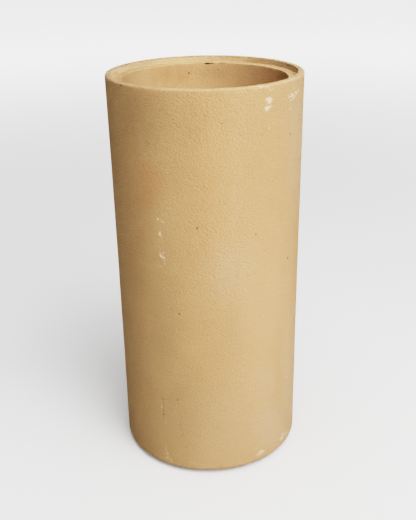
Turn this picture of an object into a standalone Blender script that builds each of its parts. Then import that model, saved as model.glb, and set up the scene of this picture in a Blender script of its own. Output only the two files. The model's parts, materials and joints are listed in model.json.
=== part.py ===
"""Round fireclay chimney pipe with a rebated joint, standing on its spigot with the socket up.

The pipe is one fired piece: a plain tube whose upper end is cut away inside to a shallow socket, and
whose lower end is cut away outside to the spigot that fits the socket of the pipe below.
Metres, +Z up. The origin is on the pipe's axis, at the underside of the spigot.
"""

import math

import bmesh
import bpy
from mathutils import Vector

# The tube
BORE_DIAMETER = 0.200
WALL = 0.019
LAYING_LENGTH = 0.500  # from the shoulder at the foot to the top of the rim

# The rebated joint
SOCKET_DEPTH = 0.007
SOCKET_RIM = 0.008  # thickness of the ring that is left standing round the socket
JOINT_CLEARANCE = 0.0015  # between a spigot and the socket round it, on the radius
MORTAR_BED = 0.001  # left under a seated spigot

# The rounded arrises
RIM_OUTER_ROUNDING = 0.0024
RIM_INNER_ROUNDING = 0.0012
SEAT_ROUNDING = 0.0015
FOOT_ROUNDING = 0.0030
SPIGOT_ROUNDING = 0.0012
BORE_FOOT_ROUNDING = 0.0012
ARC_STEPS = 4  # flats in each rounded arris

SEGMENTS = 96  # flats round the pipe
SHARP_ANGLE = math.radians(40)

FIRECLAY_COLOUR = (0.60, 0.42, 0.21, 1.0)
FIRECLAY_ROUGHNESS = 0.85

bore_radius = BORE_DIAMETER / 2
outer_radius = bore_radius + WALL
socket_radius = outer_radius - SOCKET_RIM
spigot_radius = socket_radius - JOINT_CLEARANCE
spigot_height = SOCKET_DEPTH - MORTAR_BED
rim_height = spigot_height + LAYING_LENGTH
seat_height = rim_height - SOCKET_DEPTH


def clear_scene():
    """Removes whatever the file holds."""
    for obj in list(bpy.data.objects):
        bpy.data.objects.remove(obj, do_unlink=True)


def rounded_corner(before, corner, after, radius):
    """The points of an arc of this radius that rounds the corner between its two neighbours."""
    to_before = before - corner
    to_after = after - corner
    half_angle = to_before.angle(to_after) / 2
    room = min(to_before.length, to_after.length) / 2
    radius = min(radius, room * math.tan(half_angle))
    bisector = (to_before.normalized() + to_after.normalized()).normalized()
    centre = corner + bisector * (radius / math.sin(half_angle))
    start = corner + to_before.normalized() * (radius / math.tan(half_angle)) - centre
    end = corner + to_after.normalized() * (radius / math.tan(half_angle)) - centre
    turn = start.angle_signed(end)
    points = []
    for step in range(ARC_STEPS + 1):
        angle = -turn * step / ARC_STEPS
        across = Vector((-start.y, start.x))
        points.append(centre + start * math.cos(angle) + across * math.sin(angle))
    return points


def wall_section():
    """The closed outline of the wall, as points of radius and height, going round from the bore's foot."""
    corners = [
        (bore_radius, 0, BORE_FOOT_ROUNDING),
        (spigot_radius, 0, SPIGOT_ROUNDING),
        (spigot_radius, spigot_height, 0),
        (outer_radius, spigot_height, FOOT_ROUNDING),
        (outer_radius, rim_height, RIM_OUTER_ROUNDING),
        (socket_radius, rim_height, RIM_INNER_ROUNDING),
        (socket_radius, seat_height, 0),
        (bore_radius, seat_height, SEAT_ROUNDING),
    ]
    places = [Vector((radius, height)) for radius, height, _ in corners]
    outline = []
    for index, (_, _, rounding) in enumerate(corners):
        before = places[index - 1]
        after = places[(index + 1) % len(places)]
        if rounding > 0:
            outline += rounded_corner(before, places[index], after, rounding)
        else:
            outline.append(places[index])
    return outline


def turned_mesh(name, outline):
    """A mesh made by turning a closed outline once round the Z axis."""
    bm = bmesh.new()
    ring = [bm.verts.new((point.x, 0, point.y)) for point in outline]
    edges = [bm.edges.new((ring[index - 1], ring[index])) for index in range(len(ring))]
    bmesh.ops.spin(
        bm,
        geom=ring + edges,
        cent=(0, 0, 0),
        axis=(0, 0, 1),
        angle=math.tau,
        steps=SEGMENTS,
        use_merge=True,
        use_duplicate=False,
    )
    bmesh.ops.recalc_face_normals(bm, faces=bm.faces)
    mesh = bpy.data.meshes.new(name)
    bm.to_mesh(mesh)
    bm.free()
    mesh.shade_smooth()
    mesh.set_sharp_from_angle(angle=SHARP_ANGLE)
    return mesh


def fireclay():
    """Buff fired clay, matt all over."""
    material = bpy.data.materials.new("fireclay")
    material.use_nodes = True
    shader = material.node_tree.nodes["Principled BSDF"]
    shader.inputs["Base Color"].default_value = FIRECLAY_COLOUR
    shader.inputs["Roughness"].default_value = FIRECLAY_ROUGHNESS
    shader.inputs["Metallic"].default_value = 0.0
    return material


def chimney_pipe():
    """The whole pipe, one solid."""
    mesh = turned_mesh("chimney_pipe", wall_section())
    mesh.materials.append(fireclay())
    pipe = bpy.data.objects.new("chimney_pipe", mesh)
    bpy.context.scene.collection.objects.link(pipe)
    return pipe


def main():
    clear_scene()
    chimney_pipe()


main()
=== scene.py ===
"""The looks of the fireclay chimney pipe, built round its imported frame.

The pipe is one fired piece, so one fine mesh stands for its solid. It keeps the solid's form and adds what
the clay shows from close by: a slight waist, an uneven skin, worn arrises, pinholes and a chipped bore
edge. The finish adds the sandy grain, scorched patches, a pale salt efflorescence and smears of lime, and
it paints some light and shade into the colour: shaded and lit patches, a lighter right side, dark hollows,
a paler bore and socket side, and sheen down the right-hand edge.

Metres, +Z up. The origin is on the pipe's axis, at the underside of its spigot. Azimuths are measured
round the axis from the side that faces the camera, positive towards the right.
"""

import json
import logging
import math
import random
from dataclasses import dataclass, field
from enum import Enum

import bmesh
import bpy
from mathutils import Matrix, Vector, kdtree, noise


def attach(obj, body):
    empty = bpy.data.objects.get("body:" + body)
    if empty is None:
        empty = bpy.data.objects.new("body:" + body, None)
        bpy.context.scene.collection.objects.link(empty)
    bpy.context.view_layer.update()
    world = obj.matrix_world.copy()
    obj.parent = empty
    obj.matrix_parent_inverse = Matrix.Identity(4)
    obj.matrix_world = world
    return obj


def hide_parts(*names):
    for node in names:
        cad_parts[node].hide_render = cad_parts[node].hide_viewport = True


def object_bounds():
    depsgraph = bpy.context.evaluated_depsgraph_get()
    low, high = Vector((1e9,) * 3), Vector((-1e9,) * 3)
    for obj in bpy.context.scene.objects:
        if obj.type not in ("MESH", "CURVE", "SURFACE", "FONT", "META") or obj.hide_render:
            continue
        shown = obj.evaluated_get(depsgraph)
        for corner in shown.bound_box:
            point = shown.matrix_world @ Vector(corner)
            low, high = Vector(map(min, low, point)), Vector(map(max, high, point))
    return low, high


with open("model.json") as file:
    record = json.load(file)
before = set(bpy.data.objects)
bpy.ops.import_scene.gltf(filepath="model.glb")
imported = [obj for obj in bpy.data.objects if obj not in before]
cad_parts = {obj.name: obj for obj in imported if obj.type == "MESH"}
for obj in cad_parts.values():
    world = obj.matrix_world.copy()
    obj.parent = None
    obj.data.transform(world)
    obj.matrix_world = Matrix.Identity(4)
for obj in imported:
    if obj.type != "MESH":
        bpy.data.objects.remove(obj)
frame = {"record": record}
cad_low, cad_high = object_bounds()

log = logging.getLogger("chimney_pipe")

Colour = tuple[float, float, float]
Pair = tuple[float, float]
Socket = bpy.types.NodeSocket

MM = 0.001
NODE = "chimney_pipe"
BODY = "root"


class Face(Enum):
    """The faces of the pipe: the outer wall with the rim, the socket's side, its seat, and the bore."""

    WALL = "wall"
    SOCKET = "socket"
    SEAT = "seat"
    BORE = "bore"


def blend_step(value: float, low: float, high: float) -> float:
    """A smooth step from 0 at one value to 1 at another.

    Args:
        value: Where on the step.
        low: The value that gives 0.
        high: The value that gives 1.

    Returns:
        A share between 0 and 1.
    """
    share = min(max((value - low) / (high - low), 0.0), 1.0)
    return share * share * (3.0 - 2.0 * share)


def tree_of(places: list[Vector]) -> kdtree.KDTree:
    """Puts places in a tree that finds those near a point.

    Args:
        places: The places.

    Returns:
        The tree, which numbers them in their order.
    """
    tree = kdtree.KDTree(len(places))
    for index, place in enumerate(places):
        tree.insert(place, index)
    tree.balance()
    return tree


@dataclass(frozen=True)
class Camera:
    """The camera as the photograph was taken, in pixels of its own frame."""

    photo_width: float = 416.0
    photo_height: float = 520.0
    focal_length: float = 746.5
    sensor: float = 36.0
    place: tuple[float, float, float] = (0.0, -0.9083, 0.6595)
    tilt: float = math.radians(23.857)
    roll: float = math.radians(1.032)
    nearest: float = 0.01
    farthest: float = 100.0

    def axes(self) -> tuple[Vector, Vector, Vector]:
        """The directions to the picture's right, to its top and into it."""
        level_right = Vector((1.0, 0.0, 0.0))
        level_up = Vector((0.0, math.sin(self.tilt), math.cos(self.tilt)))
        forward = Vector((0.0, math.cos(self.tilt), -math.sin(self.tilt)))
        right = level_right * math.cos(self.roll) - level_up * math.sin(self.roll)
        up = level_right * math.sin(self.roll) + level_up * math.cos(self.roll)
        return right, up, forward

    def ray(self, x: float, y: float) -> tuple[Vector, Vector]:
        """The line of sight through a pixel of the photograph.

        Args:
            x: Pixels from the photograph's left side.
            y: Pixels from its top.

        Returns:
            The camera's place and the direction of sight.
        """
        right, up, forward = self.axes()
        across = (x - self.photo_width / 2) / self.focal_length
        above = (self.photo_height / 2 - y) / self.focal_length
        return Vector(self.place), forward + right * across + up * above

    def build(self) -> bpy.types.Object:
        """Makes the scene's camera.

        Returns:
            The camera object.
        """
        right, up, forward = self.axes()
        data = bpy.data.cameras.new("photo_camera")
        data.sensor_width = self.sensor
        data.lens = self.focal_length * self.sensor / max(self.photo_width, self.photo_height)
        data.clip_start = self.nearest
        data.clip_end = self.farthest
        camera = bpy.data.objects.new("photo_camera", data)
        turn = Matrix((right, up, -forward)).transposed().to_4x4()
        camera.matrix_world = Matrix.Translation(self.place) @ turn
        bpy.context.scene.collection.objects.link(camera)
        bpy.context.scene.camera = camera
        return camera


@dataclass(frozen=True)
class Oval:
    """A mark on one face of the pipe. Its half axes lie in the unrolled face: round the wall, and up."""

    azimuth: float
    height: float
    across: Vector
    along: Vector
    strength: float = 1.0
    face: Face = Face.WALL

    @classmethod
    def upright(cls, degrees: float, height: float, half: Pair, *rest: float | Face) -> "Oval":
        """A mark that doesn't lean, by its half width and height, with its strength and face."""
        return cls(math.radians(degrees), height, Vector((half[0], 0.0)), Vector((0.0, half[1])), *rest)

    @property
    def longest(self) -> float:
        """The longer half axis."""
        return max(self.across.length, self.along.length)

    @property
    def shortest(self) -> float:
        """The shorter half axis."""
        return min(self.across.length, self.along.length)

    def distance(self, offset: Vector) -> float:
        """How far from the middle a point of the unrolled face is, with 1 at the mark's edge.

        Args:
            offset: The point, measured from the mark's middle.

        Returns:
            The distance, in half axes.
        """
        area = self.across.cross(self.along)
        return math.hypot(offset.cross(self.along) / area, self.across.cross(offset) / area)


@dataclass(frozen=True)
class Spot:
    """A mark at the pixel of the photograph where it shows, sized in pixels as it shows there."""

    x: float
    y: float
    wide: float
    tall: float
    strength: float = 1.0
    lean: float = 0.0
    face: Face = Face.WALL


@dataclass(frozen=True)
class Coat:
    """Marks of one kind, which one attribute of the mesh holds for the finish to read.

    Soft is the share of a mark that fades out, and ragged is how far its edge wanders, in metres.
    """

    name: str
    ovals: list[Oval]
    soft: float
    ragged: float


@dataclass
class WallSection:
    """The pipe's wall, cut along the axis. Its outside, height, seat and shoulder come from the frame."""

    outer_radius: float = cad_high.x
    rim_height: float = cad_high.z
    bore_radius: float = 0.100
    socket_radius: float = 0.111
    spigot_radius: float = 0.1095
    rim_outer_rounding: float = 0.0024
    rim_inner_rounding: float = 0.0008
    seat_rounding: float = 0.0006
    foot_rounding: float = 0.0030
    spigot_rounding: float = 0.0012
    arc_steps: int = 5
    wall_spacing: float = 0.0032
    bore_spacing: float = 0.0110
    edge_spacing: float = 0.0014
    shown_bore: float = 0.064
    face_gap: float = 0.0002
    arris_reach: float = 0.0020

    def __post_init__(self) -> None:
        """Reads the heights of the joint from the frame's mounts."""
        heights = {mount["name"]: mount["pos_m"][2] for mount in frame["record"]["mounts"]}
        self.seat_height: float = heights["socket_seat"]
        self.spigot_height: float = heights["shoulder"]

    def corners(self) -> list[tuple[Vector, float]]:
        """The section's corners and their roundings, going round from the bore's foot."""
        return [
            (Vector((self.bore_radius, 0.0)), self.spigot_rounding),
            (Vector((self.spigot_radius, 0.0)), self.spigot_rounding),
            (Vector((self.spigot_radius, self.spigot_height)), 0.0),
            (Vector((self.outer_radius, self.spigot_height)), self.foot_rounding),
            (Vector((self.outer_radius, self.rim_height)), self.rim_outer_rounding),
            (Vector((self.socket_radius, self.rim_height)), self.rim_inner_rounding),
            (Vector((self.socket_radius, self.seat_height)), 0.0),
            (Vector((self.bore_radius, self.seat_height)), self.seat_rounding),
        ]

    def arris(self, before: Vector, corner: Vector, after: Vector, rounding: float) -> list[Vector]:
        """The points of the arc that rounds one square corner.

        Args:
            before: The corner before it.
            corner: The corner itself.
            after: The corner after it.
            rounding: The arc's radius.

        Returns:
            The arc's points, in order.
        """
        if rounding == 0.0:
            return [corner]
        inward = (before - corner).normalized()
        onward = (after - corner).normalized()
        centre = corner + (inward + onward) * rounding
        points = []
        for step in range(self.arc_steps + 1):
            turn = math.radians(90.0) * step / self.arc_steps
            points.append(centre - onward * rounding * math.cos(turn) - inward * rounding * math.sin(turn))
        return points

    def spacing(self, start: Vector, end: Vector) -> float:
        """How far apart the rings stand along one straight run of the section."""
        if abs(end.y - start.y) < self.shown_bore / 2:
            return self.edge_spacing
        if min(start.x, end.x) > self.socket_radius:
            return self.wall_spacing
        return self.bore_spacing

    def stations(self) -> list[Vector]:
        """The radius and height of every ring of the mesh, in order round the section.

        Returns:
            The rings, each as a point of radius and height.
        """
        corners = self.corners()
        arcs = []
        for index, (corner, rounding) in enumerate(corners):
            before = corners[index - 1][0]
            after = corners[(index + 1) % len(corners)][0]
            arcs.append(self.arris(before, corner, after, rounding))
        rings = []
        for index, arc in enumerate(arcs):
            rings += arc
            start, end = arc[-1], arcs[(index + 1) % len(arcs)][0]
            rings += self.run(start, end)
        return rings

    def run(self, start: Vector, end: Vector) -> list[Vector]:
        """The rings between two arrises, with a closer spacing where the bore shows from above.

        Args:
            start: The last point of the arris before.
            end: The first point of the arris after.

        Returns:
            The rings between them, both ends left out.
        """
        spacing = self.spacing(start, end)
        pieces = [(start, end, spacing)]
        if spacing == self.bore_spacing:
            turn = start.lerp(end, self.shown_bore / (end - start).length)
            pieces = [(start, turn, self.wall_spacing), (turn, end, spacing)]
        rings = []
        for first, last, gap in pieces:
            count = max(1, round((last - first).length / gap))
            rings += [first.lerp(last, step / count) for step in range(1, count)]
            if last is not end:
                rings.append(last)
        return rings

    def on_face(self, camera: Camera, x: float, y: float, face: Face) -> Pair:
        """Where the line of sight through a pixel meets a face of the wall.

        Args:
            camera: The camera that took the photograph.
            x: Pixels from the photograph's left side.
            y: Pixels from its top.
            face: The face. Its near side counts on the outer wall, and its far side inside.

        Returns:
            The azimuth and the height of the place.
        """
        eye, sight = camera.ray(x, y)
        radius = self.radius_of(face)
        square = sight.x**2 + sight.y**2
        half = eye.x * sight.x + eye.y * sight.y
        rest = max(half**2 - square * (eye.x**2 + eye.y**2 - radius**2), 0.0)
        side = -1.0 if face is Face.WALL else 1.0
        place = eye + sight * ((-half + side * math.sqrt(rest)) / square)
        return math.atan2(place.x, -place.y), place.z

    def radius_of(self, face: Face) -> float:
        """The radius of a face of the wall."""
        return {
            Face.WALL: self.outer_radius,
            Face.SOCKET: self.socket_radius,
            Face.SEAT: (self.socket_radius + self.bore_radius) / 2,
            Face.BORE: self.bore_radius,
        }[face]

    def face_at(self, place: Vector) -> Face:
        """The face that a point of the wall is on."""
        radius = math.hypot(place.x, place.y)
        if radius < self.bore_radius + self.arris_reach:
            return Face.BORE
        if radius < self.socket_radius - self.face_gap:
            return Face.SEAT
        return Face.SOCKET if radius < self.socket_radius + self.face_gap else Face.WALL

    def oval(self, camera: Camera, spot: Spot) -> Oval:
        """Puts a spot of the photograph on the wall.

        Args:
            camera: The camera that took the photograph.
            spot: The spot.

        Returns:
            The mark that looks like the spot from there.
        """
        lean = math.radians(spot.lean)
        azimuth, height = self.on_face(camera, spot.x, spot.y, spot.face)
        sides = (
            (math.cos(lean) / 2, math.sin(lean) / 2, spot.wide),
            (-math.sin(lean) / 2, math.cos(lean) / 2, spot.tall),
        )
        axes = []
        for right, down, size in sides:
            other, above = self.on_face(camera, spot.x + right, spot.y + down, spot.face)
            round_wall = math.remainder(other - azimuth, math.tau) * self.radius_of(spot.face)
            axes.append(Vector((round_wall, above - height)) * size)
        return Oval(azimuth, height, axes[0], axes[1], spot.strength, spot.face)


@dataclass
class ClayMarks:
    """Every mark on the pipe: those that the photograph shows, and a few like them on the hidden sides."""

    section: WallSection
    camera: Camera
    hidden_pinholes: int = 16
    hidden_specks: int = 6
    hidden_smears: int = 4
    hidden_side: Pair = (95.0, 265.0)
    bare_foot: float = 0.04
    bare_top: float = 0.02
    hidden_stretch: Pair = (0.9, 1.6)
    smear_parts: int = 7
    smear_droop: float = 1.4
    part_half: Pair = (0.5, 1.6)
    part_lean: float = 0.5
    part_stretch: Pair = (0.9, 2.2)
    part_strength: Pair = (0.3, 1.0)
    seed: int = 11

    def seen(self, spots: list[Spot]) -> list[Oval]:
        """Puts a list of spots on the wall."""
        return [self.section.oval(self.camera, spot) for spot in spots]

    def hidden(self, count: int, least: float, most: float, salt: int) -> list[Oval]:
        """Marks scattered over the side that the photograph doesn't show.

        Args:
            count: How many there are.
            least: The smallest width, in metres.
            most: The largest width, in metres.
            salt: Sets this scatter apart from the others.

        Returns:
            The marks.
        """
        draw = random.Random(self.seed + salt)
        ovals = []
        for _ in range(count):
            azimuth = math.remainder(math.radians(draw.uniform(*self.hidden_side)), math.tau)
            height = draw.uniform(self.bare_foot, self.section.rim_height - self.bare_top)
            half = draw.uniform(least, most) / 2
            tall = half * draw.uniform(*self.hidden_stretch)
            ovals.append(Oval(azimuth, height, Vector((half, 0.0)), Vector((0.0, tall))))
        return ovals

    def splashes(self) -> list[Oval]:
        """Smears of lime on the side that doesn't show, each made of a few small ones."""
        draw = random.Random(self.seed + 3)
        ovals = []
        for middle in self.hidden(self.hidden_smears, 5.0 * MM, 9.0 * MM, salt=3):
            for _ in range(self.smear_parts):
                azimuth = middle.azimuth + draw.gauss(0.0, middle.longest) / self.section.outer_radius
                height = middle.height + draw.gauss(0.0, middle.longest * self.smear_droop)
                half = draw.uniform(*self.part_half) * MM
                lean = draw.uniform(-self.part_lean, self.part_lean) * half
                along = Vector((-lean, half * draw.uniform(*self.part_stretch)))
                strength = draw.uniform(*self.part_strength)
                ovals.append(Oval(azimuth, height, Vector((half, lean)), along, strength))
        return ovals

    def pinholes(self) -> list[Oval]:
        """Small holes where a grain has burnt or fallen out."""
        return self.seen([
            Spot(197, 228.7, 1.7, 1.6, 0.85), Spot(256.4, 234.7, 1.3, 1.3, 0.7),
            Spot(288.5, 258.2, 1.3, 1.4, 0.8), Spot(178.5, 314.5, 1.6, 1.5),
            Spot(170.6, 309.4, 1.2, 1.2, 0.2), Spot(177.2, 400.5, 1.7, 1.1, 0.5),
            Spot(179.4, 425.8, 1.3, 1.7, 0.36), Spot(221.8, 124, 1.3, 1.2, 0.7),
            Spot(204.6, 116.3, 2, 1.1, 0.6, lean=-50), Spot(262.5, 134.9, 1.1, 1.1, 0.5),
            Spot(290.6, 134.4, 1.1, 1.4, 0.7), Spot(150.3, 192.2, 1.1, 1.2, 0.45),
            Spot(120.4, 85.4, 1.4, 1.5, 0.8), Spot(225.4, 204.2, 1.3, 1.2, 0.5),
            Spot(237.2, 275.8, 1.3, 1.2, 0.45), Spot(194.1, 288.3, 1.2, 1.2, 0.5),
            Spot(182.5, 436, 1.2, 1.6, 0.26), Spot(178.6, 439.1, 1.2, 1.5, 0.18),
            Spot(189.5, 444.5, 1.5, 1.2, 0.28), Spot(185.5, 446.8, 1.3, 1.2, 0.26),
            Spot(166.5, 243.8, 1.1, 1.1, 0.35), Spot(188.7, 73.4, 1.5, 1.4, 0.9, face=Face.BORE),
            Spot(217.5, 70.2, 1.3, 1.3, 0.6, face=Face.BORE),
        ]) + self.hidden(self.hidden_pinholes, 1.2 * MM, 2.0 * MM, salt=1)

    def pits(self) -> list[Oval]:
        """Shallow pits, mostly in small groups, where the skin has pulled."""
        return self.seen([
            Spot(173.4, 123.6, 1.4, 1.1, 0.3), Spot(176.2, 125.4, 1.6, 1.2, 0.34),
            Spot(179.4, 124, 1.3, 1.1, 0.26), Spot(178, 127.2, 1.5, 1.1, 0.3),
            Spot(172.6, 120, 1.2, 1.4, 0.34), Spot(201.4, 189.6, 1.3, 1.2, 0.3),
            Spot(203.8, 187.2, 1.5, 1.2, 0.34), Spot(206.6, 189, 1.3, 1.1, 0.26),
            Spot(204.6, 192, 1.4, 1.3, 0.3), Spot(138.8, 155.6, 1.4, 1.2, 0.26),
            Spot(143, 164.6, 1.8, 1.2, 0.28, lean=40), Spot(209, 156.4, 1.6, 1, 0.34, lean=45),
            Spot(211.6, 160.2, 1.4, 1, 0.26, lean=45), Spot(208, 169.6, 1.4, 1, 0.28, lean=45),
            Spot(226.2, 107.8, 1.4, 1.2, 0.3), Spot(169.8, 174.6, 1.6, 1.1, 0.26),
        ])

    def notch(self) -> list[Oval]:
        """The hollow that is broken out under the bore's upper edge."""
        return self.seen([
            Spot(207.3, 63.7, 5.2, 1.5, face=Face.BORE), Spot(211.4, 63.5, 3.4, 1.2, 0.55, face=Face.BORE),
            Spot(221, 63.7, 3, 1.1, 0.3, face=Face.BORE),
        ])

    def scratch(self) -> list[Oval]:
        """The wandering scratch low on the left, as the hollows along it."""
        return self.seen([
            Spot(162.5, 399.2, 1, 2, 0.45), Spot(162.7, 402.2, 0.8, 2.4, 0.35),
            Spot(163, 405.4, 0.8, 2.6, 0.3), Spot(163.2, 408.4, 0.8, 2.2, 0.4),
            Spot(163.5, 411.2, 1, 2.6, 0.45), Spot(163.5, 414.6, 1.1, 2.4, 0.5),
            Spot(163.7, 417.6, 0.9, 2.2, 0.35),
        ])

    def burr(self) -> list[Oval]:
        """The pale grains that the scratch has turned up beside it."""
        return self.seen([
            Spot(161.4, 401.6, 1, 2.6, 0.32), Spot(161.6, 406.6, 1.1, 4.6, 0.36),
            Spot(164.6, 411.4, 1, 3, 0.28), Spot(165.4, 418.5, 1.1, 1.6, 0.26),
            Spot(165.5, 422.8, 1.2, 2.2, 0.36),
        ])

    def rust_specks(self) -> list[Oval]:
        """Grains of iron that have coloured the clay round them."""
        return self.seen([
            Spot(148.3, 414.4, 2.2, 2.6, 0.6), Spot(217.1, 386.9, 2.2, 1.8, 0.55),
            Spot(148.3, 384.1, 1.8, 1.9, 0.4), Spot(249, 414, 1.8, 1.6, 0.4),
            Spot(255.3, 272.9, 2, 1.7, 0.35), Spot(212.6, 396.2, 1.8, 1.6, 0.35),
            Spot(268.2, 450.2, 3.6, 1.9, 0.6), Spot(155.8, 256.6, 1.9, 4.6, 0.45),
            Spot(155.4, 230.4, 1.8, 1.4, 0.4), Spot(155, 239.4, 1.6, 1.4, 0.3),
        ]) + self.hidden(self.hidden_specks, 2.0 * MM, 3.4 * MM, salt=2)

    def lime(self) -> list[Oval]:
        """Smears and splashes of lime."""
        upper_right = [
            Spot(269.5, 99.6, 5.4, 3.8), Spot(270, 101, 4.2, 3),
            Spot(269, 102.6, 2.4, 1.8, 0.8), Spot(266, 99.6, 2, 3.6, 0.42),
            Spot(269, 97.4, 5, 1.2, 0.45), Spot(272.5, 99.5, 1.4, 3, 0.35),
            Spot(270.5, 104.2, 1.1, 3.8, 0.65), Spot(267.5, 104.6, 1.1, 2.8, 0.35),
            Spot(267.6, 108, 4.2, 4.2), Spot(269.4, 107, 3.8, 2, 0.95),
            Spot(266.5, 110.2, 1.7, 2.4, 0.75), Spot(265.2, 108.6, 1.6, 4, 0.38),
            Spot(268.4, 110.8, 2.2, 1.8, 0.3), Spot(272, 106.4, 2, 1.1, 0.45),
            Spot(296.5, 93, 1.4, 2), Spot(295.6, 92.2, 2.4, 1.8, 0.6),
            Spot(298.8, 91, 3, 1.5, 0.5, lean=-25), Spot(292.8, 94.8, 2.6, 1.6, 0.95),
            Spot(292, 96, 3, 1.8, 0.95, lean=-20), Spot(290, 97, 2.6, 1.4, 0.55, lean=-25),
            Spot(293.3, 98.4, 1.8, 3.4, 0.72), Spot(294.6, 95.8, 2.2, 3.6, 0.5),
            Spot(291.6, 93.6, 2.6, 1.2, 0.42, lean=-20), Spot(290.5, 100.2, 1.4, 1.6, 0.8),
            Spot(288.8, 95.6, 2.4, 2.6, 0.22), Spot(294.2, 88.4, 1.6, 3.8, 0.26),
            Spot(290.2, 108.8, 1.6, 2.2, 0.38), Spot(293.4, 313, 1.2, 2, 0.3),
            Spot(292.2, 318.6, 1.3, 1.6, 0.34), Spot(291, 323.4, 1.2, 1.8, 0.26),
            Spot(287.8, 377, 1.4, 1.5, 0.34), Spot(285, 397, 1.3, 1.5, 0.28),
            Spot(269.6, 128.2, 1.5, 1.5, 0.65), Spot(269.8, 88.8, 1.2, 3, 0.32),
            Spot(271.4, 90.5, 3.2, 1.2, 0.32), Spot(273.6, 88.6, 1.4, 1.8, 0.28),
        ]
        left_row = [
            Spot(157.6, 219.2, 1.8, 2.2, 1.05, lean=-25), Spot(161.9, 221.8, 4.2, 1.4, 0.6, lean=20),
            Spot(161, 219.6, 1.6, 1.2, 0.3), Spot(159.5, 232.6, 1.4, 1.8, 1.3),
            Spot(159.5, 234.4, 2.8, 3.2, 0.8), Spot(161, 237, 1.8, 2.6, 0.36),
            Spot(162.2, 238.6, 2, 1.2, 0.26), Spot(158.4, 239.6, 1.4, 1.2, 0.26),
            Spot(159.5, 241.6, 1.4, 1.3, 0.32), Spot(157, 246.4, 2, 1.3, 0.2),
            Spot(161.8, 248.4, 2, 1.2, 0.16), Spot(159.8, 254.6, 1.4, 3, 0.8),
            Spot(163, 253.2, 2.2, 1.8, 0.5), Spot(160.6, 256, 1.8, 2.2, 0.9),
            Spot(162, 257, 2.8, 2.2), Spot(163.6, 258.2, 2.2, 1.8, 0.9),
            Spot(164.5, 260.8, 1.2, 2.8, 0.34), Spot(164.8, 264, 2, 1.8, 0.3),
            Spot(159.2, 266.4, 2, 1.3, 0.28), Spot(161.5, 266.4, 1.4, 1.3, 0.22),
        ]
        foot = [
            Spot(262, 451.4, 4, 2.8, 0.72), Spot(262.5, 451.5, 1.5, 1.4),
            Spot(264.2, 450.8, 2, 1.8, 0.42), Spot(261.5, 449.6, 1.4, 2, 0.4),
            Spot(260.4, 453.4, 1.8, 3.2, 0.72), Spot(258.8, 453.4, 2.2, 3.4, 0.42, lean=20),
            Spot(257.6, 455, 3.8, 1.6, 0.3, lean=-5), Spot(256.4, 448.5, 2.6, 1.2, 0.26),
            Spot(283.5, 434, 1.2, 2.4, 0.66), Spot(282.5, 434.6, 1.2, 3.2, 0.42),
            Spot(282.5, 437.2, 1.3, 2.2, 0.95), Spot(281.5, 438.2, 1.4, 3.6, 0.62),
            Spot(281.5, 439.5, 1.2, 1.4, 0.9), Spot(280.4, 438.6, 1.2, 1.4, 0.36),
            Spot(285, 435.4, 3, 1.2, 0.42), Spot(285.5, 432.8, 1.2, 3.8, 0.3),
            Spot(278.6, 439, 1.2, 2, 0.22), Spot(167.8, 453.6, 1.6, 3.4, 0.4),
            Spot(167.4, 457.6, 3.4, 2.2, 0.48), Spot(171, 459.6, 4.2, 1.4, 0.34, lean=18),
            Spot(166, 450, 2.2, 11, 0.14), Spot(191, 462.5, 2, 1.2, 0.34),
            Spot(193.4, 463.2, 1.3, 1.8, 0.34),
        ]
        rim = [
            Spot(254.5, 87.5, 1.4, 1.2, 0.45), Spot(256.5, 88.6, 1.3, 1.2, 0.4),
            Spot(260.4, 86.5, 5, 1.1, 0.45), Spot(261, 87.4, 2.2, 1.2),
            Spot(264, 86.5, 2.2, 1.1, 0.5), Spot(268, 86.4, 2.2, 1.2),
            Spot(266.5, 87.5, 1.3, 1.1, 0.45), Spot(271.5, 86.5, 1.3, 1.1, 0.45),
            Spot(253.4, 89.6, 1.3, 1.2, 0.32), Spot(256.4, 90.6, 1.2, 1.2, 0.3),
        ]
        seen = self.seen(upper_right + left_row + foot + rim)
        return seen + self.burr() + self.splashes()

    def hollows(self) -> list[Oval]:
        """Everything that goes into the clay."""
        return self.pinholes() + self.pits() + self.notch() + self.scratch()

    def scorch(self) -> list[Oval]:
        """Patches that the flame has warmed to orange brown."""
        return self.seen([
            Spot(147, 180, 29, 34, 0.92, lean=-8), Spot(145, 200, 20, 20, 0.8, lean=10),
            Spot(138.6, 236, 10, 11, 0.75), Spot(150, 92, 24, 6, 0.35),
            Spot(126, 160, 16, 60, 0.3), Spot(207, 180, 52, 230, 0.6),
            Spot(215, 345, 46, 110, 0.34), Spot(262, 190, 40, 180, 0.34),
            Spot(134, 262, 20, 130, 0.2, lean=-3),
            Spot(172, 74, 40, 24, 0.74, face=Face.BORE),
            Spot(208, 72, 31, 20, 0.26, face=Face.BORE),
        ]) + [
            Oval(math.radians(150.0), 0.33, Vector((0.045, 0.010)), Vector((-0.010, 0.060)), 0.6),
            Oval.upright(-128.0, 0.15, (0.035, 0.075), 0.5),
            Oval.upright(112.0, 0.10, (0.025, 0.040), 0.4),
        ]

    def bloom_and_sheen(self) -> list[Oval]:
        """Pale, greyish efflorescence where salts have dried out of the clay; the tall strips down the
        right-hand edge are painted sheen.
        """
        return self.seen([
            Spot(230, 272, 40, 54, 0.3), Spot(301, 140, 9, 130, 0.6, lean=2),
            Spot(299, 275, 9, 150, 0.62, lean=2), Spot(291, 390, 10, 110, 0.62, lean=3),
            Spot(276, 428, 32, 50, 0.66, lean=20), Spot(222, 436, 110, 80, 0.16),
            Spot(268, 385, 22, 40, 0.22),
        ]) + [
            Oval.upright(82.0, self.section.rim_height, (0.050, 0.0040), 0.85),
            Oval.upright(-90.0, self.section.rim_height, (0.044, 0.0040), 0.78),
        ]

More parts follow.
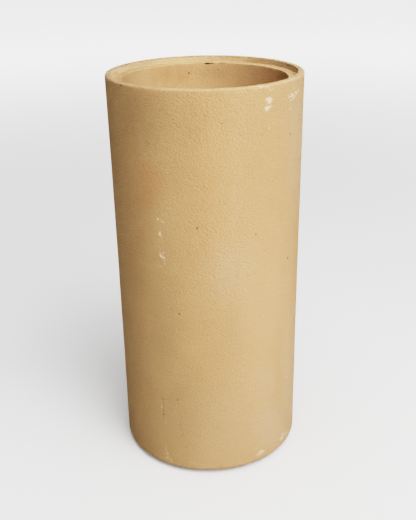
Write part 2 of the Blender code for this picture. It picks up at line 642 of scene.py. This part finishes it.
    def dust_and_light(self) -> list[Oval]:
        """Broad pale places, low on the right and inside the bore: painted light, partly dusty; the one in
        the bore stands for light bounced round inside it.
        """
        return self.seen([
            Spot(223, 215, 46, 150, 0.08), Spot(266, 285, 46, 170, 0.1),
            Spot(292, 350, 14, 200, 0.12), Spot(262, 385, 40, 90, 0.07),
        ]) + [
            Oval.upright(100.0, 0.470, (0.055, 0.060), 0.75, Face.BORE),
        ]

    def smoke_and_shade(self) -> list[Oval]:
        """Dull, darker patches on the left, at the upper middle, inside the bore and on the rim: painted
        shade, partly smoky staining.
        """
        return self.seen([
            Spot(146, 120, 48, 60, 0.34), Spot(189, 122, 26, 46, 0.2),
            Spot(168, 340, 30, 90, 0.18), Spot(180, 412, 56, 74, 0.2),
            Spot(214, 72, 26, 12, 0.14, face=Face.BORE),
        ]) + [
            Oval.upright(88.0, self.section.rim_height, (0.045, 0.0030), 0.28),
        ]

    def chalk_and_light(self) -> list[Oval]:
        """Pale places on the socket's side, left and right: partly a chalky film, partly painted light on a
        face the lamps leave darker.
        """
        middle = (self.section.seat_height + self.section.rim_height) / 2
        return [
            Oval.upright(-88.0, middle, (0.062, 0.0050), 0.82, Face.SOCKET),
            Oval.upright(92.0, middle, (0.060, 0.0050), 0.90, Face.SOCKET),
        ]

    def coats(self) -> list[Coat]:
        """The marks by kind, with how soft and how ragged their edges are."""
        return [
            Coat("smoke_and_shade", self.smoke_and_shade(), 0.80, 0.0060),
            Coat("dust_and_light", self.dust_and_light(), 0.75, 0.0060),
            Coat("chalk_and_light", self.chalk_and_light(), 0.75, 0.0030),
            Coat("scorch", self.scorch(), 0.65, 0.0080),
            Coat("bloom_and_sheen", self.bloom_and_sheen(), 0.75, 0.0060),
            Coat("rust", self.rust_specks(), 0.70, 0.0006),
            Coat("lime", self.lime(), 0.40, 0.0005),
            Coat("hollow", self.hollows(), 0.45, 0.0003),
        ]


@dataclass
class ClayPipe:
    """The pipe itself, as one fine mesh."""

    section: WallSection
    marks: ClayMarks
    segments: int = 304
    waist: float = 0.00075
    swell: float = 0.00022
    ripple: float = 0.00003
    swell_size: float = 0.085
    swell_level: float = 0.35
    ripple_size: float = 0.011
    wear: float = 0.0007
    wear_size: float = 0.0055
    wear_from: Pair = (0.15, 0.75)
    broad_wear: float = 0.5
    broad_wear_size: float = 0.019
    broad_wear_from: Pair = (0.10, 0.60)
    fine_cuts: int = 3
    reach_share: float = 1.5
    ragged_size: float = 1.5
    ragged_shift: tuple[float, float, float] = (7.0, 3.0, 5.0)
    least_reach: float = 0.0026
    hollow_depth: float = 0.65
    sharp_angle: float = math.radians(40.0)
    arris_share: float = 0.25

    def plain_mesh(self) -> bmesh.types.BMesh:
        """Turns the section round the axis."""
        clay = bmesh.new()
        rings = []
        for station in self.section.stations():
            ring = []
            for step in range(self.segments):
                azimuth = math.tau * step / self.segments
                across, depth = station.x * math.sin(azimuth), -station.x * math.cos(azimuth)
                ring.append(clay.verts.new((across, depth, station.y)))
            rings.append(ring)
        for index, ring in enumerate(rings):
            onward = rings[(index + 1) % len(rings)]
            for step in range(self.segments):
                after = (step + 1) % self.segments
                clay.faces.new((ring[step], ring[after], onward[after], onward[step]))
        bmesh.ops.recalc_face_normals(clay, faces=clay.faces)
        return clay

    def point_of(self, oval: Oval) -> Vector:
        """The point of the wall at the middle of a mark."""
        radius = self.section.radius_of(oval.face)
        return Vector((radius * math.sin(oval.azimuth), -radius * math.cos(oval.azimuth), oval.height))

    def refine(self, clay: bmesh.types.BMesh, places: list[tuple[Vector, float]]) -> None:
        """Cuts the mesh finer round each place.

        Args:
            clay: The mesh.
            places: Each place with the radius round it.
        """
        faces = list(clay.faces)
        tree = tree_of([face.calc_center_median() for face in faces])
        edges = set()
        for place, radius in places:
            for _, index, _ in tree.find_range(place, radius):
                edges.update(faces[index].edges)
        bmesh.ops.subdivide_edges(clay, edges=list(edges), cuts=self.fine_cuts, use_grid_fill=True)

    def skin(self, place: Vector, normal: Vector) -> float:
        """How far the clay's skin stands off the plain form, outwards, at one place.

        Args:
            place: A point of the plain form.
            normal: The form's outward direction there.

        Returns:
            The distance in metres.
        """
        section = self.section
        radius = math.hypot(place.x, place.y)
        outward = (normal.x * place.x + normal.y * place.y) / radius
        share = place.z / section.rim_height
        lift = -outward * self.waist * 4.0 * share * (1.0 - share)
        lift += self.swell * (noise.noise(place / self.swell_size) - self.swell_level)
        lift += self.ripple * noise.noise(place / self.ripple_size)
        arris = 2.0 * abs(outward * normal.z)
        if arris > self.arris_share:
            worn = blend_step(noise.noise(place / self.wear_size), *self.wear_from)
            broad = blend_step(noise.noise(place / self.broad_wear_size), *self.broad_wear_from)
            lift -= self.wear * arris * (worn + self.broad_wear * broad)
        return lift

    def carve(self, clay: bmesh.types.BMesh, coat: Coat) -> None:
        """Moves the skin and sinks the hollows.

        Args:
            clay: The mesh, already cut finer where it needs to be.
            coat: The hollows.
        """
        clay.normal_update()
        verts = list(clay.verts)
        plain = [vert.co.copy() for vert in verts]
        normals = [vert.normal.copy() for vert in verts]
        tree = tree_of(plain)
        lifts = [self.skin(place, normal) for place, normal in zip(plain, normals)]
        for hollow in coat.ovals:
            depth = self.hollow_depth * hollow.shortest * 2
            for place, index, _ in tree.find_range(self.point_of(hollow), hollow.longest * 2):
                lifts[index] -= depth * self.cover(hollow, place, coat)
        for vert, place, normal, lift in zip(verts, plain, normals, lifts):
            vert.co = place + normal * lift
            vert.co.z = min(max(vert.co.z, 0.0), self.section.rim_height)

    def cover(self, oval: Oval, place: Vector, coat: Coat) -> float:
        """How strongly one mark covers a point of the wall.

        Args:
            oval: The mark.
            place: The point.
            coat: The coat that the mark belongs to.

        Returns:
            The cover, from 0 to the mark's strength.
        """
        if self.section.face_at(place) is not oval.face:
            return 0.0
        turn = math.remainder(math.atan2(place.x, -place.y) - oval.azimuth, math.tau)
        offset = Vector((turn * self.section.radius_of(oval.face), place.z - oval.height))
        size = coat.ragged * self.ragged_size
        offset.x += coat.ragged * noise.noise(place / size)
        offset.y += coat.ragged * noise.noise(place.yzx / size + Vector(self.ragged_shift))
        return oval.strength * (1.0 - blend_step(oval.distance(offset), 1.0 - coat.soft, 1.0 + coat.soft))

    def paint(self, mesh: bpy.types.Mesh, coat: Coat) -> None:
        """Writes one coat of marks to the mesh, as a number at each of its points.

        Args:
            mesh: The pipe's mesh.
            coat: The coat.
        """
        covers = [0.0] * len(mesh.vertices)
        tree = tree_of([vert.co for vert in mesh.vertices])
        for oval in coat.ovals:
            reach = oval.longest * (1.0 + coat.soft) + coat.ragged * 2
            for place, index, _ in tree.find_range(self.point_of(oval), reach):
                covers[index] = max(covers[index], self.cover(oval, place, coat))
        attribute = mesh.attributes.new(coat.name, "FLOAT", "POINT")
        attribute.data.foreach_set("value", covers)

    def build(self, finish: bpy.types.Material) -> bpy.types.Object:
        """Makes the pipe, dressed, and puts it in the frame.

        Args:
            finish: The fired clay.

        Returns:
            The finished piece.
        """
        coats = {coat.name: coat for coat in self.marks.coats()}
        clay = self.plain_mesh()
        small = coats["hollow"].ovals + coats["lime"].ovals
        reaches = [max(oval.longest * self.reach_share, self.least_reach) for oval in small]
        self.refine(clay, [(self.point_of(oval), reach) for oval, reach in zip(small, reaches)])
        self.carve(clay, coats["hollow"])
        mesh = bpy.data.meshes.new("fired_pipe")
        clay.to_mesh(mesh)
        clay.free()
        for coat in coats.values():
            self.paint(mesh, coat)
        mesh.shade_smooth()
        mesh.set_sharp_from_angle(angle=self.sharp_angle)
        mesh.materials.append(finish)
        pipe = bpy.data.objects.new("fired_pipe", mesh)
        bpy.context.scene.collection.objects.link(pipe)
        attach(pipe, BODY)
        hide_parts(NODE)
        return pipe


class Bench:
    """A material's nodes, with short calls for those that the finishes use."""

    def __init__(self, name: str) -> None:
        """Starts a material with its shader.

        Args:
            name: The material's name.
        """
        self.material: bpy.types.Material = bpy.data.materials.new(name)
        self.material.use_nodes = True
        self.tree: bpy.types.NodeTree = self.material.node_tree
        self.shader: bpy.types.Node = self.tree.nodes["Principled BSDF"]

    def feed(self, socket: Socket, value: object) -> None:
        """Links a socket to an input, or sets a value on it."""
        if isinstance(value, Socket):
            self.tree.links.new(value, socket)
        else:
            socket.default_value = value

    def add(self, kind: str, **settings: object) -> bpy.types.Node:
        """Adds a node with its properties."""
        node = self.tree.nodes.new(kind)
        for name, value in settings.items():
            setattr(node, name, value)
        return node

    def finish(self, values: dict[str, object]) -> bpy.types.Material:
        """Sets inputs of the shader, each to a value or a socket, and gives the material."""
        for name, value in values.items():
            self.feed(self.shader.inputs[name], value)
        return self.material

    def place(self) -> Socket:
        """The point of the piece, in metres."""
        return self.add("ShaderNodeTexCoord").outputs["Object"]

    def attribute(self, name: str) -> Socket:
        """One coat of marks, as the mesh holds it."""
        return self.add("ShaderNodeAttribute", attribute_name=name).outputs["Fac"]

    def math(self, operation: str, first: object, second: object = 0.0, clamp: bool = False) -> Socket:
        """One sum on numbers.

        Args:
            operation: The Math node's operation.
            first: A number or a socket.
            second: A number or a socket.
            clamp: Whether the answer is kept between 0 and 1.

        Returns:
            The answer's socket.
        """
        node = self.add("ShaderNodeMath", operation=operation, use_clamp=clamp)
        self.feed(node.inputs[0], first)
        self.feed(node.inputs[1], second)
        return node.outputs[0]

    def vector(self, operation: str, first: object, second: object = (0.0, 0.0, 0.0)) -> Socket:
        """One sum on vectors.

        Args:
            operation: The Vector Math node's operation.
            first: A vector or a socket.
            second: A vector or a socket.

        Returns:
            The answer's socket.
        """
        node = self.add("ShaderNodeVectorMath", operation=operation)
        self.feed(node.inputs[0], first)
        self.feed(node.inputs[1], second)
        return node.outputs["Value" if operation == "LENGTH" else "Vector"]

    def step(self, value: object, low: float, high: float, bottom: float = 0.0, top: float = 1.0) -> Socket:
        """A smooth step from one value to another.

        Args:
            value: Where on the step.
            low: The value where it starts.
            high: The value where it ends.
            bottom: The answer at the start.
            top: The answer at the end.

        Returns:
            The answer's socket.
        """
        node = self.add("ShaderNodeMapRange", interpolation_type="SMOOTHSTEP")
        for socket, number in zip(node.inputs, (value, low, high, bottom, top)):
            self.feed(socket, number)
        return node.outputs["Result"]

    def noise(self, place: object, size: float, detail: float = 2.0, roughness: float = 0.5) -> Socket:
        """Smooth noise with features of one size.

        Args:
            place: The point to read it at.
            size: The features' size in metres.
            detail: How many finer layers there are.
            roughness: How strong each finer layer is.

        Returns:
            The noise, about 0.5 on average.
        """
        node = self.add("ShaderNodeTexNoise")
        self.feed(node.inputs["Vector"], place)
        node.inputs["Scale"].default_value = 1.0 / size
        node.inputs["Detail"].default_value = detail
        node.inputs["Roughness"].default_value = roughness
        return node.outputs["Fac"]

    def mix(self, share: object, first: object, second: object) -> Socket:
        """Mixes two colours."""
        node = self.add("ShaderNodeMix", data_type="RGBA")
        self.feed(node.inputs["Factor"], share)
        for socket, colour in ((node.inputs[6], first), (node.inputs[7], second)):
            self.feed(socket, colour if isinstance(colour, Socket) else (*colour, 1.0))
        return node.outputs[2]

    def bump(self, height: Socket, distance: float, under: Socket | None = None) -> Socket:
        """Raises the surface in shading.

        Args:
            height: The height, from 0 to 1.
            distance: What a height of 1 stands for, in metres.
            under: The normal of a bump beneath this one.

        Returns:
            The new normal.
        """
        node = self.add("ShaderNodeBump")
        node.inputs["Strength"].default_value = 1.0
        node.inputs["Distance"].default_value = distance
        self.feed(node.inputs["Height"], height)
        if under is not None:
            self.feed(node.inputs["Normal"], under)
        return node.outputs["Normal"]


@dataclass(frozen=True)
class FiredClay:
    """Unglazed buff fireclay, sandy to the touch."""

    buff: Colour = (0.440, 0.306, 0.174)
    pale_buff: Colour = (0.460, 0.320, 0.183)
    bore_tan: Colour = (0.562, 0.396, 0.240)
    socket_pale: Colour = (0.630, 0.490, 0.328)
    rim_pale: Colour = (0.462, 0.325, 0.205)
    grain_pale_and_lit: Colour = (0.640, 0.450, 0.270)
    orange: Colour = (0.455, 0.282, 0.150)
    bloom_and_sheen_grey: Colour = (0.475, 0.355, 0.243)
    pale_dust_and_light: Colour = (0.780, 0.560, 0.370)
    smoke_and_shade_brown: Colour = (0.310, 0.212, 0.122)
    chalk_and_light_white: Colour = (0.800, 0.670, 0.500)
    right_side_light: Colour = (0.452, 0.3065, 0.182)
    lime_white: Colour = (0.610, 0.494, 0.380)
    hollow_shade_brown: Colour = (0.130, 0.070, 0.030)
    grain_brown_and_shade: Colour = (0.260, 0.170, 0.090)
    even_noise: Pair = (0.35, 0.65)
    tone_size: float = 0.060
    bore_edge: float = WallSection.bore_radius + 0.0012
    socket_radius: float = WallSection.socket_radius
    socket_band: Pair = (0.00084, 0.00036)
    zone_blend: float = 0.0006
    rim_start: float = cad_high.z - 0.0015
    grain_size: float = 0.0011
    grain_roughness: float = 0.7
    grain_share: float = 0.7
    grain_twist: float = 4.3
    mottle_size: float = 0.014
    mottle: Pair = (0.60, 0.825)
    patch_size: float = 0.0016
    patches: Pair = (0.70, 1.40)
    right_side_light_share: float = 0.9
    right_side_light_start: float = -0.035
    right_side_light_end: float = 0.005
    roughness: float = 0.92
    specular: float = 0.25
    peel_size: float = 0.0026
    peel_height: float = 0.00074
    fine_roughness: float = 0.6
    sand_size: float = 0.0012
    sand_height: float = 0.00082
    low_gain: float = 0.92
    high_gain: float = 1.30
    gain_bottom: float = 0.10
    gain_top: float = 0.50
    bore_gain: float = 0.54
    left_relief_and_shade_gain: float = 1.75
    rough_edge: float = -0.098
    rough_end: float = -0.038

    def material(self) -> bpy.types.Material:
        """Makes the finish.

        Returns:
            The material.
        """
        bench = Bench("fired_clay")
        place = bench.place()
        split = bench.add("ShaderNodeSeparateXYZ")
        bench.feed(split.inputs[0], place)
        across, up = split.outputs["X"], split.outputs["Z"]
        radius = bench.vector("LENGTH", bench.vector("MULTIPLY", place, (1.0, 1.0, 0.0)))
        bore_zone = (radius, self.bore_edge, self.bore_edge - self.zone_blend)

        tone = bench.step(bench.noise(place, self.tone_size, 3.0), *self.even_noise)
        colour = bench.mix(tone, self.buff, self.pale_buff)
        # Painted light: the clay turns slightly lighter towards the right, the side the lamps light.
        right_side_light = bench.step(across, self.right_side_light_start, self.right_side_light_end, 0.0, self.right_side_light_share)
        colour = bench.mix(right_side_light, colour, self.right_side_light)
        # The bore is paler: partly cleaner clay, partly painted light for the light that bounces round
        # inside it.
        colour = bench.mix(bench.step(*bore_zone), colour, self.bore_tan)
        socket = bench.math("ABSOLUTE", bench.math("SUBTRACT", radius, self.socket_radius))
        colour = bench.mix(bench.step(socket, *self.socket_band), colour, self.socket_pale)
        rim = bench.step(up, self.rim_start, self.rim_start + self.zone_blend)
        colour = bench.mix(rim, colour, self.rim_pale)
        # Partly a chalky film, partly painted light: lightens the socket's side, left and right.
        colour = bench.mix(bench.attribute("chalk_and_light"), colour, self.chalk_and_light_white)
        # Painted light, partly dusty: pale patches low on the right and on the right inside the bore.
        colour = bench.mix(bench.attribute("dust_and_light"), colour, self.pale_dust_and_light)
        mottle = bench.step(bench.noise(place, self.mottle_size), *self.even_noise, *self.mottle)
        scorch = bench.math("MULTIPLY", bench.attribute("scorch"), mottle)
        colour = bench.mix(scorch, colour, self.orange)
        # Greyish salt efflorescence, and painted sheen in the tall strips down the right-hand edge.
        colour = bench.mix(bench.attribute("bloom_and_sheen"), colour, self.bloom_and_sheen_grey)
        # Painted shade, partly smoky staining: darker patches on the left, at the upper middle, in the bore
        # and on the rim.
        colour = bench.mix(bench.attribute("smoke_and_shade"), colour, self.smoke_and_shade_brown)

        gain = bench.step(up, self.gain_bottom, self.gain_top, self.low_gain, self.high_gain)
        gain = bench.math("MULTIPLY", gain, bench.step(*bore_zone, 1.0, self.bore_gain))
        # Stronger grain on the left: deeper bumps, and a higher colour contrast that paints the light and
        # shade of grazing light on the sandy relief.
        left = bench.step(across, self.rough_edge, self.rough_end, self.left_relief_and_shade_gain, 1.0)
        gain = bench.math("MULTIPLY", gain, left)
        twist = bench.add("ShaderNodeVectorRotate", rotation_type="Z_AXIS")
        bench.feed(twist.inputs["Vector"], place)
        bench.feed(twist.inputs["Angle"], bench.math("MULTIPLY", up, self.grain_twist))
        slant = twist.outputs["Vector"]
        grain = bench.noise(slant, self.grain_size, roughness=self.grain_roughness)
        grain = bench.math("MULTIPLY", bench.math("SUBTRACT", grain, 0.5), gain)
        # Pale and brown flecks of grog; their contrast, raised on the left, also paints light and shade of
        # the relief.
        for share, paint in ((self.grain_share, self.grain_pale_and_lit), (-self.grain_share, self.grain_brown_and_shade)):
            colour = bench.mix(bench.math("MULTIPLY", grain, share, clamp=True), colour, paint)
        colour = bench.mix(bench.attribute("rust"), colour, self.orange)

        patchy = bench.noise(place, self.patch_size, roughness=self.fine_roughness)
        patchy = bench.step(patchy, *self.even_noise, *self.patches)
        lime = bench.math("MULTIPLY", bench.attribute("lime"), patchy, clamp=True)
        colour = bench.mix(lime, colour, self.lime_white)
        # Painted shade: the hollows are darkened beyond what their carved depth shades, over some burnt
        # grain.
        colour = bench.mix(bench.attribute("hollow"), colour, self.hollow_shade_brown)

        sand = bench.noise(slant, self.sand_size, roughness=self.fine_roughness)
        normal = bench.bump(bench.math("MULTIPLY", sand, gain), self.sand_height)
        peel = bench.noise(slant, self.peel_size, 1.0)
        normal = bench.bump(bench.math("MULTIPLY", peel, gain), self.peel_height, normal)
        return bench.finish({
            "Base Color": colour,
            "Normal": normal,
            "Roughness": self.roughness,
            "Specular IOR Level": self.specular,
        })


@dataclass(frozen=True)
class SoftBox:
    """A square studio light that looks at the middle of the pipe."""

    name: str
    azimuth: float
    elevation: float
    power: float
    distance: float = 4.0
    side: float = 3.2

    def build(self, target: Vector) -> bpy.types.Object:
        """Makes the light.

        Args:
            target: The point that it looks at.

        Returns:
            The light object.
        """
        azimuth, elevation = math.radians(self.azimuth), math.radians(self.elevation)
        back = Vector((
            math.sin(azimuth) * math.cos(elevation),
            -math.cos(azimuth) * math.cos(elevation),
            math.sin(elevation),
        ))
        data = bpy.data.lights.new(self.name, "AREA")
        data.shape = "SQUARE"
        data.size = self.side
        data.energy = self.power
        lamp = bpy.data.objects.new(self.name, data)
        turn = back.to_track_quat("Z", "Y").to_matrix().to_4x4()
        lamp.matrix_world = Matrix.Translation(target + back * self.distance) @ turn
        bpy.context.scene.collection.objects.link(lamp)
        return lamp


@dataclass(frozen=True)
class FilmCurve:
    """The photograph's tones, which roll off towards white."""

    steepness: float = 2.0
    brightest: float = 8.0
    points: int = 24

    def tone(self, light: float) -> float:
        """The picture's tone for an amount of light."""
        power = light**self.steepness
        return power / (1.0 + power)

    def build(self, view: bpy.types.ColorManagedViewSettings) -> None:
        """Sets the curve on the scene's picture.

        Args:
            view: The scene's view settings.
        """
        view.view_transform = "Standard"
        view.look = "None"
        view.use_curve_mapping = True
        mapping = view.curve_mapping
        mapping.white_level = (self.brightest, self.brightest, self.brightest)
        curve = mapping.curves[3]
        for step in range(1, self.points):
            share = (step / self.points) ** 2
            curve.points.new(share, self.tone(share * self.brightest))
        curve.points[self.points].location = (1.0, self.tone(self.brightest))
        mapping.update()


@dataclass
class Studio:
    """The plain pale room: a floor, a surround that looks white but sheds little light, and the lights."""

    floor_side: float = 60.0
    floor_white: Colour = (0.60, 0.60, 0.60)
    floor_glow: float = 0.30
    far_glow: float = 2.10
    glow_from: Pair = (0.8, 4.0)
    surround: Colour = (1.0, 1.0, 1.0)
    surround_light: float = 0.03
    surround_seen: float = 2.7
    target: Vector = field(default_factory=lambda: Vector((0.0, 0.0, 0.27)))

    def lamps(self) -> list[SoftBox]:
        """The lights, strongest first."""
        return [
            SoftBox("front_light", 20.0, 45.0, 350.0),
            SoftBox("top_light", 0.0, 90.0, 225.0),
            SoftBox("key_light", 48.0, 44.0, 216.0),
        ]

    def floor(self) -> bpy.types.Object:
        """Makes the floor.

        Returns:
            The floor object, which is no part of the pipe.
        """
        half = self.floor_side / 2
        corners = [(-half, -half, 0), (half, -half, 0), (half, half, 0), (-half, half, 0)]
        mesh = bpy.data.meshes.new("studio_floor")
        mesh.from_pydata(corners, [], [(0, 1, 2, 3)])
        bench = Bench("studio_floor")
        away = bench.vector("LENGTH", bench.place())
        mesh.materials.append(bench.finish({
            "Base Color": (*self.floor_white, 1.0),
            "Emission Color": (*self.surround, 1.0),
            "Emission Strength": bench.step(away, *self.glow_from, self.floor_glow, self.far_glow),
            "Roughness": 1.0,
            "Specular IOR Level": 0.0,
        }))
        floor = bpy.data.objects.new("studio_floor", mesh)
        bpy.context.scene.collection.objects.link(floor)
        return floor

    def build(self) -> None:
        """Makes the floor, the surround and the lights."""
        self.floor()
        world = bpy.data.worlds.new("studio")
        world.use_nodes = True
        nodes = world.node_tree.nodes
        background = nodes["Background"]
        background.inputs["Color"].default_value = (*self.surround, 1.0)
        seen = nodes.new("ShaderNodeMapRange")
        seen.inputs["To Min"].default_value = self.surround_light
        seen.inputs["To Max"].default_value = self.surround_seen
        rays = nodes.new("ShaderNodeLightPath")
        world.node_tree.links.new(rays.outputs["Is Camera Ray"], seen.inputs["Value"])
        world.node_tree.links.new(seen.outputs["Result"], background.inputs["Strength"])
        scene = bpy.context.scene
        scene.world = world
        FilmCurve().build(scene.view_settings)
        for lamp in self.lamps():
            lamp.build(self.target)


def main() -> None:
    """Builds the camera, the pipe and the studio, and reports the pipe and the studio."""
    logging.basicConfig(level=logging.INFO, format="%(name)s: %(message)s")
    camera = Camera()
    camera.build()
    section = WallSection()
    marks = ClayMarks(section, camera)
    pipe = ClayPipe(section, marks).build(FiredClay().material())
    log.info("%s: %d faces", pipe.name, len(pipe.data.polygons))
    Studio().build()
    log.info("studio ready")


if __name__ == "__main__":
    main()
